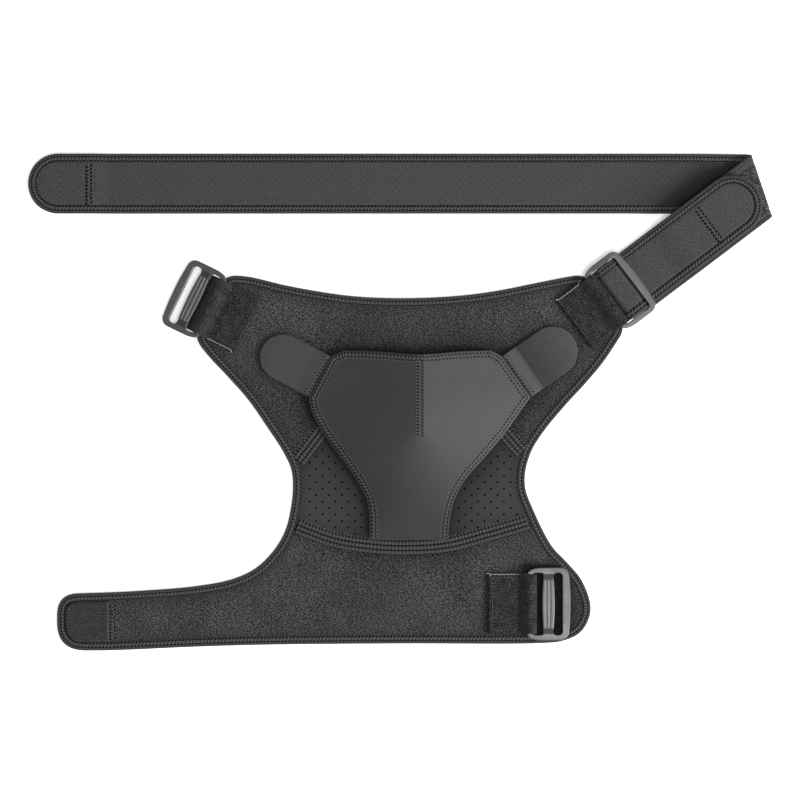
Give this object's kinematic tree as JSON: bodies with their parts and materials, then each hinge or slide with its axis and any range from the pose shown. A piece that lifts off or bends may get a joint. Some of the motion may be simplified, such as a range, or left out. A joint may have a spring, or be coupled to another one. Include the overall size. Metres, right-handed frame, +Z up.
{
  "type": "shoulder brace",
  "caption": "Flat-laid neoprene shoulder brace with an arm cuff, a domed shield on two tabs, slide buckles on sewn webbing and a padded chest strap with hook ends.",
  "frame": {"origin": "centre of the brace's box in plan, on the surface that it lies on", "axes": "+Z up out of the outer face, +X along the long leg of the chest strap towards its fold, +Y from the cuff's hem towards the neckline"},
  "size_m": [0.6302, 0.4222, 0.015],
  "materials": {
    "loop_fabric": "fuzzy charcoal loop fabric on neoprene",
    "vent_fabric": "knitted charcoal face on perforated neoprene",
    "edge_tape": "matt folded knit tape with stitching",
    "shield_fabric": "smooth charcoal knit on neoprene",
    "tab_fabric": "smooth lighter charcoal knit",
    "webbing": "matt woven webbing",
    "buckle_plastic": "satin moulded dark grey plastic",
    "strap_fabric": "smooth charcoal knit on neoprene, fuzzy back",
    "hook_tape": "fine hook tape"
  },
  "bodies": {
    "root": {"yoke_panel": "loop_fabric", "vent_panel": "vent_fabric", "cuff_panel": "loop_fabric", "body_binding": "edge_tape", "shield": "shield_fabric", "shield_tab_left": "tab_fabric", "shield_tab_right": "tab_fabric", "webbing_left": "webbing", "buckle_left": "buckle_plastic", "webbing_right": "webbing", "buckle_right": "buckle_plastic", "webbing_cuff": "webbing", "buckle_cuff": "buckle_plastic", "chest_strap": "strap_fabric", "strap_binding": "edge_tape", "cuff_hook_patch": "hook_tape", "strap_hook_patch": "hook_tape", "folded_hook_patch": "hook_tape"}
  },
  "joints": []
}
